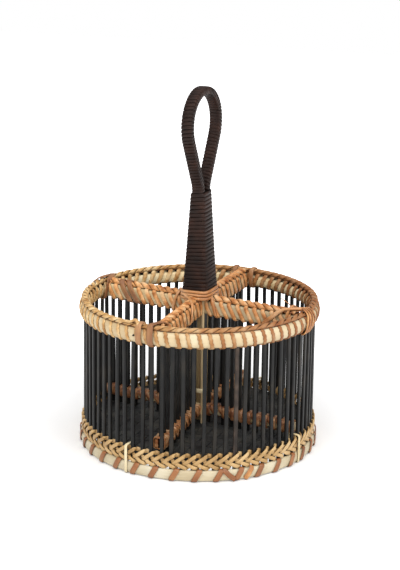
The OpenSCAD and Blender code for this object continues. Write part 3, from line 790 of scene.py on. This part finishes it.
DIVIDER_PLAY = 0.3
DIVIDER_BOW = 0.35
for name, arms in (("long", ["right", "left"]), ("front", ["front"]), ("back", ["back"])):
    runs = []
    for arm in arms:
        places = [INNER_SLAT] + [ARM_START + (i + 0.5) * ARM_PITCH for i in range(ARM_SLATS)]
        for along in places:
            foot = arm_point(arm, along + jitter(DIVIDER_PLAY), 0, SLAT_FOOT)
            head = arm_point(arm, along + jitter(DIVIDER_PLAY), 0, SLAT_TOP)
            runs.append(slat_run(foot, head, arm_point(arm, 0, 1, 0), jitter(DIVIDER_BOW)))
    lay_strips(name + "_slat_row", runs, FLAT, bamboo_upright, "black_bamboo", name + "_slats")

# Share of the pitch at each corner of a turn, so that the slant shows on the side that is seen
SLANTS = {"right": [0.04, 0.09, 0.22, 0.96], "back": [0.07, 0.13, 0.3, 0.93],
          "left": [0.03, 0.8, 0.91, 0.97], "front": [0.07, 0.6, 0.78, 0.93]}
# The low battens are wrapped twice over, once each way, at these lifts.
LOW_LAYERS = (([0.07, 0.13, 0.3, 0.93], 0.6), ([0.07, 0.7, 0.85, 0.93], 1.2))
# Two more turns close the end at the wall.
END_TURNS = (ARM_END - 2.2, ARM_END - 6.4)
LASH_START = ARM_START - ARM_PITCH
LASH_END = ARM_END - 2
ARM_TURNS = ARM_SLATS + 1
RAIL_ROUND = 1.6
LOW_THICK = 1.1


def along_arm(arm):
    """The place of a winding along a divider arm: the section is across and height."""
    def put(turned, spot):
        along = min(max(LASH_START + turned * ARM_PITCH, ARM_FIRST), LASH_END)
        return arm_point(arm, along, spot[0], spot[1])
    return put


def rail_corners(bottom, top, lift):
    """Corners of the two battens of a divider, with room for the cane round them."""
    return box_corners(SKIN_OUT + lift, bottom - lift, top + lift)


def arm_wrapping(arm, corners, shares, wide, narrow, thick, play):
    """A winding along an arm, narrow at its low stations, where it passes through a gap between two slats."""
    turn = wrap_path(corners, shares, RAIL_ROUND, bulge=0.2)
    low_stations = (0, 1, 13, 14, 15)
    widths = [narrow if i in low_stations else wide for i in range(len(turn))] * ARM_TURNS
    return winding([turn] * ARM_TURNS, along_arm(arm), play, widths, thick)[:-1]


PLAIT_MIDDLE = PLAIT_BOTTOM + 1.5
WRAP_WIDE = {"right": 3.6, "back": 4.4, "left": 4.0, "front": 4.6}
LOW_SKIN = {"right": low_shaded_cane, "back": low_cane, "left": low_shaded_cane, "front": low_cane}
for arm in ARMS:
    run = arm_wrapping(arm, rail_corners(RIM_BOTTOM, RIM_TOP, lift=0.85), SLANTS[arm], WRAP_WIDE[arm],
                       narrow=2.9, thick=1.6, play=0.05)
    lay_strips(arm + "_top_wrapping", [run], SPLIT, arm_cane, "brown_cane", arm + "_top_lashing")
    runs = [arm_wrapping(arm, rail_corners(LOW_BOTTOM, LOW_TOP, lift), shares, wide=3.8, narrow=2.8,
                         thick=LOW_THICK, play=0.06) for shares, lift in LOW_LAYERS]
    for along in END_TURNS:
        runs += section_loops(rail_corners(LOW_BOTTOM, LOW_TOP, lift=1.1),
                              [lambda across, z: arm_point(arm, along, across, z)],
                              width=4.6, thick=LOW_THICK, radius=RAIL_ROUND)
    lay_strips(arm + "_low_wrapping", runs, SPLIT, LOW_SKIN[arm], "brown_cane", arm + "_low_lashing")
    runs = rope(lambda along, across, up: arm_point(arm, along, across, PLAIT_MIDDLE + up),
                ARM_START - 1, ARM_PITCH, ARM_SLATS, swing=2.0, rise=1.3, width=4.3, thick=3.0, closed=False)
    lay_strips(arm + "_rope", runs, ROUND, arm_cane, "brown_cane", arm + "_plait")
    filler(arm + "_filler", [arm_point(arm, along, 0, FILLER_HEIGHT)
                             for along in np.linspace(ARM_FIRST, ARM_END, BATTEN_STEPS)])

# The handle

LOOP_RADIUS = 27.5
LOOP_HEIGHT = 273.2
LEG_SLOPE = 26.0
LEG_TOP = (24.72, 261.14)
LEG_BOTTOM = (7.60, 226.06)
NECK_RADIUS = 20.0
NECK_END = (5.6, 216.38)
STEM_SPLAY = 2.6
CORE_WIDE = 7.8
CORE_THICK = 4.4
BINDING = 1.0
BINDING_GAP = 0.1
LEG_TURNS = 36
# The binding of a leg starts so far from the top, and a little at its lower end stays bare.
LEG_START = 0.6
LEG_BARE = 0.4
# No part of it comes nearer to the top than this.
LEG_FIRST = 0.1
# Turns of a binding lie a little over each other.
OVERLAP = 1.02
# Share of the pitch at the four corners of a binding
QUARTERS = [0, 0.25, 0.5, 0.75]
slope = math.radians(LEG_SLOPE)
arc_length = LOOP_RADIUS * (math.pi / 2 + slope)
leg_length = math.dist(LEG_TOP, LEG_BOTTOM)
neck_length = NECK_RADIUS * (slope + math.radians(STEM_SPLAY))
neck_middle = (LEG_BOTTOM[0] + NECK_RADIUS * math.cos(slope), LEG_BOTTOM[1] - NECK_RADIUS * math.sin(slope))
bent_length = arc_length + leg_length + neck_length


def loop_line(s):
    """Middle line of one side of the loop from the top: across, up, and the angle of its outward side."""
    if s < arc_length:
        angle = math.pi / 2 - s / LOOP_RADIUS
        return LOOP_RADIUS * math.cos(angle), LOOP_HEIGHT + LOOP_RADIUS * math.sin(angle), angle
    if s < arc_length + leg_length:
        down = s - arc_length
        return LEG_TOP[0] - down * math.sin(slope), LEG_TOP[1] - down * math.cos(slope), -slope
    angle = (s - arc_length - leg_length) / NECK_RADIUS - slope
    return (neck_middle[0] - NECK_RADIUS * math.cos(angle), neck_middle[1] - NECK_RADIUS * math.sin(angle),
            angle)


def leg_binding(name, side, node):
    """The flat binding of one leg, turn by turn from the top of the loop to the neck."""
    pitch = (bent_length - LEG_BARE) / LEG_TURNS
    half_wide = CORE_WIDE / 2 + BINDING_GAP + BINDING / 2
    half_thick = CORE_THICK / 2 + BINDING_GAP + BINDING / 2
    turn = wrap_path(box_corners(half_wide, -half_thick, half_thick), QUARTERS, radius=1.1, bulge=0.06)

    def put(turned, spot):
        across, out = spot
        y, z, angle = loop_line(max(LEG_FIRST, LEG_START + turned * pitch))
        return Vector((across, side * (y + out * math.cos(angle)), z + out * math.sin(angle)))

    run = winding([turn] * LEG_TURNS, put, play=0.05, width=pitch * OVERLAP, thick=BINDING)
    lay_strips(name, [run[:-2]], SPLIT, dark_binding, "dark_binding", node)


leg_binding("front_leg_wrapping", -1, "front_leg_binding")
leg_binding("back_leg_wrapping", 1, "back_leg_binding")

# Heights of the stem's binding, and of the bend and the end of its sticks
STEM_BOTTOM = 131.2
STEM_TOP = 217.2
STICK_BEND = 129.2
STICK_END = 204.2
# Half size of the stem at the bend and at the end of the sticks, and the room round its core
STEM_HALF_BEND = 9.9
STEM_HALF_END = CORE_WIDE / 2 + 2.0
CORE_GAP = 0.3
# How far it flares at its foot, and the height over which that dies away
STEM_FLARE = 0.9
FLARE_FOOT = 132
FLARE_LENGTH = 9
STEM_TURNS = 26
STEM_BINDING = 1.2
STEM_LIFT = 0.6
STEM_ROUND = 2.3


def stem_half(z):
    """Half size of the stem along X and Y at a height, without its binding."""
    share = max(0.0, (z - STICK_BEND) / (STICK_END - STICK_BEND))
    flare = STEM_FLARE * math.exp(-max(0.0, z - FLARE_FOOT) / FLARE_LENGTH)
    along_x = (1 - share) * STEM_HALF_BEND + share * STEM_HALF_END + flare
    along_y = NECK_END[0] + (NECK_END[1] - z) * math.tan(math.radians(STEM_SPLAY)) + CORE_THICK / 2
    return along_x, along_y + CORE_GAP


def stem_corners(z, lift):
    """Corners of the stem at a height, with room for the cane round it."""
    half_x, half_y = (half + lift for half in stem_half(z))
    return box_corners(half_x, -half_y, half_y)


stem_pitch = (STEM_TOP - STEM_BOTTOM) / (STEM_TURNS + 0.1)
stem_start = STEM_BOTTOM + stem_pitch / 2
heights = [stem_start + (number + 0.5) * stem_pitch for number in range(STEM_TURNS)]
turns = [wrap_path(stem_corners(z, STEM_LIFT), QUARTERS, STEM_ROUND, bulge=0.25) for z in heights]
run = winding(turns, lambda turned, spot: Vector((spot[0], spot[1], stem_start + turned * stem_pitch)),
              play=0.04, width=stem_pitch * OVERLAP, thick=STEM_BINDING)
lay_strips("stem_wrapping", [run[:-4]], SPLIT, dark_binding, "dark_binding", "stem_binding")

# Three strands lie round the foot of the stem, a little aslant.
runs = []
for z, lift in ((127.9, 1.9), (130.6, 1.7), (133.2, 1.4)):
    runs += section_loops(stem_corners(z, lift), [lambda x, y: Vector((x, y, z + 0.03 * x))],
                          width=2.7, thick=2.0, radius=4.6)
lay_strips("crossing_collar", runs, SPLIT, orange_cane, "orange_cane", "cross_collar")

# A brown stick, not quite straight, stands between the battens in the middle of the post.
points = [Vector((0.2 * math.sin(0.06 * z), 0.15 * math.cos(0.05 * z), z))
          for z in np.linspace(SLAT_FOOT, SLAT_TOP, BATTEN_STEPS)]
run = stations(points, [Vector((0, -1, 0))] * BATTEN_STEPS, width=4.4, thick=3.4)
lay_strips("centre_stick", [run], ROUND, bark_stick, "natural_stick")

# The post tie goes round the four sticks, a little aslant.
POST_TIE_HEIGHT = 44
POST_TIE_HALF = 8.2
runs = section_loops(box_corners(POST_TIE_HALF, -POST_TIE_HALF, POST_TIE_HALF),
                     [lambda x, y: Vector((x, y, POST_TIE_HEIGHT + 0.09 * x + 0.02 * y))],
                     width=3.8, thick=LASH_THICK, radius=1.9)
lay_strips("post_tie_loop", runs, SPLIT, tie_cane, "split_cane_tie", "post_tie")

# Straps go from the collar over the edges of each arm and down its sides.
STRAP_WIDE = 2.6
STRAP_THICK = 1.1
STRAP_TOP = RIM_TOP + 5.2
# How far from the middle of an arm a strap lies on its side, and where it turns in below it
STRAP_SIDE = 6.0
STRAP_END = RIM_BOTTOM - 1.4
runs = []
for arm, start in (("right", 10.5), ("back", 15.0), ("left", 10.5), ("front", 15.0)):
    for side in (-1, 1):
        # Two of them are left out: the loose ones below take their place.
        if (arm, side) in (("left", 1), ("front", 1)):
            continue
        aside = arm_point(arm, 0, side, 0)
        knots = arm_knots(arm, (start - 1.5, side, STRAP_TOP, UP),
                          (start + 2.5, side * 3.8, STRAP_TOP - 0.2, UP),
                          (start + 5, side * 6.1, STRAP_TOP - 5, aside),
                          (start + 8, side * STRAP_SIDE, RIM_BOTTOM + 1.5, aside),
                          (start + 8.4, side * 3.6, STRAP_END, DOWN))
        runs.append(strap(knots, STRAP_WIDE, STRAP_THICK))
# One loose strap runs down the front of the left arm, and one crosses it and lies over the front arm.
out = arm_point("left", 0, 1, 0)
over = arm_point("front", 0, 1, 0)
knots = arm_knots("left", (15.0, -4.5, STRAP_TOP - 3, -out), (16.6, -1.5, STRAP_TOP, UP),
                  (18.2, 2.6, STRAP_TOP - 0.3, UP), (20.2, 5.9, RIM_TOP - 0.4, out),
                  (23.1, STRAP_SIDE, RIM_BOTTOM + 0.5, out), (23.6, 3.6, STRAP_END, DOWN))
runs.append(strap(knots, STRAP_WIDE, STRAP_THICK))
knots = arm_knots("left", (22.5, -4.4, STRAP_TOP - 4, -out), (20.4, -2.4, STRAP_TOP + 0.1, UP),
                  (17.6, 1.6, STRAP_TOP + 0.9, UP))
knots += arm_knots("front", (16.5, -6.5, STRAP_TOP + 0.9, UP), (21.5, -1.6, STRAP_TOP + 0.5, UP),
                   (29.5, 4.0, STRAP_TOP - 1.4, UP), (34.0, 6.1, RIM_TOP - 2.0, over),
                   (37.0, STRAP_SIDE, RIM_BOTTOM + 1.2, over), (37.4, 3.6, STRAP_END, DOWN))
runs.append(strap(knots, STRAP_WIDE, STRAP_THICK))
lay_strips("crossing_straps", runs, SPLIT, orange_cane, "orange_cane", "cross_ties")

# Dark bands hold the rim to the end of the back and front dividers, at these angles.
BANDS = {"back": (85.0, 95.0), "front": (266.6, 272.4)}
BAND_WIDE = {"back": 4.2, "front": 5.2}
BAND_THICK = 1.1
over_rope = PLAIT_BOTTOM + 3.4
# One side of a band's section: out from the slats, and height
RIM_SIDE = [(2.8, RIM_BOTTOM - 1.7), (5.3, 116.2), (5.4, 121.0), (4.0, over_rope)]
rim_section = [(rim_middle + out, z) for out, z in RIM_SIDE]
rim_section += [(rim_middle - out, z) for out, z in reversed(RIM_SIDE)]
for arm, angles in BANDS.items():
    runs = section_loops(rim_section, [upright_at(angle) for angle in angles],
                         BAND_WIDE[arm], BAND_THICK, radius=1.8)
    if arm == "front":
        # The second band is led on over the rope to the end of the arm.
        knots = rim_knots((102.2, 272.4, 124.0, polar(1, 272, 0)), (101.0, 272.6, over_rope + 0.2, UP),
                          (97, 273.4, over_rope + 0.9, UP), (92, 274.6, over_rope + 0.6, UP))
        knots += arm_knots(arm, (87, 1.5, over_rope - 0.2, UP), (84, 3.4, over_rope - 2.2, UP))
        runs.append(strap(knots, 4.4, BAND_THICK))
    lay_strips(arm + "_rim_bands", runs, SPLIT, dark_cane, "dark_cane", arm + "_rim_tie")

# At the left end one strap lies over the end of the divider on a slant, and one along the rope.
inward = polar(-1, 178, 0)
knots = rim_knots((94.5, 179.6, 111.4, DOWN), (91.8, 179.4, 112.6, inward), (90.6, 178.9, 119.0, inward),
                  (89.6, 178.1, 125.6, inward), (90.0, 175.4, 129.6, UP), (92.4, 171.8, 130.2, UP),
                  (96.2, 169.4, 129.6, UP), (99.4, 168.2, 127.4, UP), (101.2, 167.8, 124.6, polar(1, 167, 1)))
runs = [strap(knots, 4.9, BAND_THICK)]
knots = rim_knots((92.5, 170.0, 130.4, UP), (95.8, 173.0, 129.9, UP), (97.6, 176.6, 129.5, UP),
                  (99.6, 179.6, 128.6, polar(0.5, 180, 1)), (101.9, 181.6, 125.2, polar(1, 182, 0.3)),
                  (102.6, 182.6, 118.5, polar(1, 183, 0)), (100.6, 183.0, 111.4, DOWN))
runs.append(strap(knots, 4.2, 1.0))
# Two more go round the arm itself, and slant this far along it.
SLANT = 9.5
aside = arm_point("left", 0, 1, 0)
for along in (76.5, 69.0):
    knots = arm_knots("left", (along + 2, -4, over_rope - 2, -aside), (along + 1, -1, over_rope + 0.3, UP),
                      (along, 3.2, over_rope, UP), (along - 0.3 * SLANT, 6.1, RIM_TOP - 1, aside),
                      (along - SLANT, 6.1, RIM_BOTTOM + 1.0, aside),
                      (along - 1.1 * SLANT, 3.5, STRAP_END, DOWN))
    runs.append(strap(knots, 4.8, BAND_THICK))
lay_strips("left_rim_bands", runs, SPLIT, dark_cane, "dark_cane", "left_rim_tie")

# At the right end a broad strap bends over the rim and goes down outside.
knots = arm_knots("right", (86.0, -1.0, 127.0, UP))
knots += rim_knots((94.0, 356.4, 128.9, UP), (98.0, 356.9, 128.9, UP),
                   (101.3, 357.3, 126.6, polar(1, 357, 1)),
                   (102.4, 357.4, 121.0, polar(1, 357, 0)), (102.2, 356.0, 115.2, polar(1, 356, 0)),
                   (100.2, 355.0, 111.2, DOWN), (96.0, 355.0, 110.7, DOWN))
lay_strips("right_rim_bands", [strap(knots, 7.4, BAND_THICK)], SPLIT, rust_cane, "dark_cane", "right_rim_tie")

# A stout strand lies along the side of the right arm, with a turn round it and a loose fibre.
out = arm_point("right", 0, -1, 0)
stout = arm_knots("right", (62.5, -3.8, RIM_BOTTOM - 1.0, DOWN), (64.6, -6.2, 114.8, out),
                  (70.1, -6.5, 119.7, out), (76.5, -6.2, 125.6, out), (82.0, -4.8, 129.2, UP),
                  (88.0, -3.0, 130.3, UP)) + rim_knots((95.0, 355.6, 130.6, UP))
turn = arm_knots("right", (84.5, -5.2, 122.5, out), (85.6, -5.0, 127.0, out), (87.2, -2.6, 131.4, UP),
                 (88.6, 1.4, 131.6, UP), (89.5, 4.4, 128.4, -out))
fibre = arm_knots("right", (86.5, 0.0, 130.6, UP), (82.5, 3.4, 131.8, UP), (77.0, 7.0, 132.6, UP),
                  (72.5, 9.5, 133.4, UP))
runs = [strap(stout, 3.6, 2.0), strap(turn, 2.4, 1.4), strap(fibre, 0.7, 0.6)]
lay_strips("right_end_strands", runs, SPLIT, orange_cane, "orange_cane")

# Four thin strands fan out from the stout one over the strap.
FAN_STRANDS = 4
FAN_STEP = 2.7
runs = []
for number in range(FAN_STRANDS):
    fan = FAN_STEP * (number - (FAN_STRANDS - 1) / 2)
    top = 356.6 + 0.35 * fan
    knots = arm_knots("right", (87.0, -2.2 + 0.3 * fan, 129.6, UP))
    knots += rim_knots((95.0, top, 130.3 + jitter(0.3), UP),
                       (98.6, top + 0.15 * fan, 130.2 + jitter(0.3), UP),
                       (102.0, 357.2 + 0.75 * fan, 127.2, polar(1, 357, 1)),
                       (103.3, 357.6 + fan, 121.4, polar(1, 357, 0)),
                       (103.1, 356.2 + 0.85 * fan, 115.4, polar(1, 356, 0)),
                       (100.8, 355.0 + 0.6 * fan, 110.8, DOWN), (97.0, 355.0 + 0.6 * fan, 110.3, DOWN))
    runs.append(strap(knots, 1.8 + jitter(0.2), 0.9))
lay_strips("right_rim_fan", runs, SPLIT, tawny_cane, "orange_cane")

# The strand that ends the rim's rope bends up beside the front bands.
knots = rim_knots((98.6, 256.0, 127.2, UP), (99.4, 258.8, 128.4, UP), (99.4, 261.6, 129.0, UP),
                  (98.9, 264.0, 131.0, UP), (99.6, 265.7, 129.6, UP), (101.0, 266.4, 126.4, UP))
lay_strips("rim_rope_end", [strap(knots, 3.0, 2.2)], ROUND, rim_cane, "brown_cane")

# A peg stands out of the outer hoop, left of the front bands.
points = [polar(radius, 264, 118.9) for radius in (100.5, 101.8, 102.2)]
run = stations(points, [Vector(UP)] * len(points), [1.5, 1.5, 1.0], 1.4)
lay_strips("rim_peg", [run], ROUND, dark_binding, "dark_binding")

# CAD nodes that stay, with their finish
KEPT = {"base_warp": bamboo_along_x, "base_weft": bamboo_along_y, "handle_core": stained_core}
for end in ("front", "back"):
    for side in ("left", "right"):
        KEPT["post_stick_%s_%s" % (end, side)] = natural_stick
for name, material in KEPT.items():
    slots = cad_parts[name].data.materials
    slots.clear()
    slots.append(material)

# The studio: a pale floor, soft light and the camera of the photograph

bpy.ops.object.select_all(action="DESELECT")
bpy.ops.mesh.primitive_plane_add(size=6, location=(0, 0, 0))
floor = bpy.context.object
floor.name = "studio_floor"
material, tree, out = new_material("white_paper")
# White paper that the camera sees as white, with the soft shadow kept.
path = add(tree, "ShaderNodeLightPath")
seen = add(tree, "ShaderNodeMath", {"operation": "MAXIMUM"},
           {0: path.outputs["Is Camera Ray"], 1: path.outputs["Is Glossy Ray"]})
seen_too = add(tree, "ShaderNodeMath", {"operation": "MAXIMUM"},
               {0: seen.outputs["Value"], 1: path.outputs["Is Transmission Ray"]})
# The paper glows for the camera, a painted light: strongly all round and under the mat, where it would lie in
# shade, and weakly near the foot, which keeps the soft shadow there.
# Places of the ramp are shares of this reach in metres.
GLOW_REACH = 0.4
coords = add(tree, "ShaderNodeTexCoord")
reach = add(tree, "ShaderNodeVectorMath", {"operation": "LENGTH"}, {0: coords.outputs["Object"]})
share = add(tree, "ShaderNodeMath", {"operation": "DIVIDE", 1: GLOW_REACH}, {0: reach.outputs["Value"]})
bright = add(tree, "ShaderNodeValToRGB",
             {"ramp": [(0.22, grey(0.85)), (0.25, grey(0.12)), (0.4, grey(0.2)), (1.0, grey(1))]},
             {"Fac": share.outputs["Value"]})
glow = add(tree, "ShaderNodeMath", {"operation": "MULTIPLY"},
           {0: seen_too.outputs["Value"], 1: bright.outputs["Color"]})
paper = add(tree, "ShaderNodeBsdfDiffuse", {"Color": linear("#F4F4F4")})
light = add(tree, "ShaderNodeEmission", {"Color": linear("#FFFFFF")}, {"Strength": glow.outputs["Value"]})
both = add(tree, "ShaderNodeAddShader", {}, {0: paper.outputs["BSDF"], 1: light.outputs["Emission"]})
tree.links.new(both.outputs["Shader"], out.inputs["Surface"])
floor.data.materials.append(material)

world = bpy.data.worlds.new("studio_white")
bpy.context.scene.world = world
world.use_nodes = True
tree = world.node_tree
tree.nodes.clear()
out = add(tree, "ShaderNodeOutputWorld")
path = add(tree, "ShaderNodeLightPath")
seen = add(tree, "ShaderNodeMath", {"operation": "MAXIMUM"},
           {0: path.outputs["Is Camera Ray"], 1: path.outputs["Is Transmission Ray"]})
level = add(tree, "ShaderNodeMapRange", {"To Min": 0.45, "To Max": 1.0}, {"Value": seen.outputs["Value"]})
sky = add(tree, "ShaderNodeBackground", {"Color": linear("#FFFFFF")}, {"Strength": level.outputs["Result"]})
tree.links.new(sky.outputs["Background"], out.inputs["Surface"])


def soft_box(name, place, size, power):
    """A large soft lamp that looks at the middle of the object."""
    bpy.ops.object.light_add(type="AREA", location=place)
    lamp = bpy.context.object
    lamp.name = name
    lamp.data.shape = "RECTANGLE"
    lamp.data.size = size[0]
    lamp.data.size_y = size[1]
    lamp.data.energy = power
    lamp.rotation_euler = (Vector((0, 0, 0.1)) - Vector(place)).to_track_quat("-Z", "Y").to_euler()


soft_box("key_light", (0.05, -1.25, 1.35), (1.8, 1.2), 20)
soft_box("fill_light", (1.4, -0.5, 1.0), (1.0, 1.2), 12)
soft_box("top_light", (0.1, 0.2, 1.8), (1.4, 1.4), 7)

# The camera as it was fitted to the photograph: place in metres, angles in degrees, and the focal length
# and the longer side of the photograph in pixels
CAMERA_PLACE = (0.4672, -1.0087, 0.4515)
CAMERA_DOWN = 15.84
CAMERA_TURN = 24.85
# The photograph is tipped a little to the right.
CAMERA_TIP = 0.77
FOCAL_PIXELS = 1365.7
PHOTO_PIXELS = 570
SENSOR_MM = 36
bpy.ops.object.camera_add(location=CAMERA_PLACE)
camera = bpy.context.object
camera.name = "photo_camera"
aim = Euler((math.radians(90 - CAMERA_DOWN), 0, math.radians(CAMERA_TURN))).to_matrix()
camera.rotation_euler = (aim @ Matrix.Rotation(math.radians(CAMERA_TIP), 3, "Z")).to_euler()
camera.data.sensor_width = SENSOR_MM
camera.data.sensor_fit = "AUTO"
camera.data.lens = FOCAL_PIXELS / PHOTO_PIXELS * SENSOR_MM
camera.data.clip_start = 0.01
bpy.context.scene.camera = camera
bpy.context.scene.view_settings.view_transform = "Standard"

bpy.context.view_layer.update()
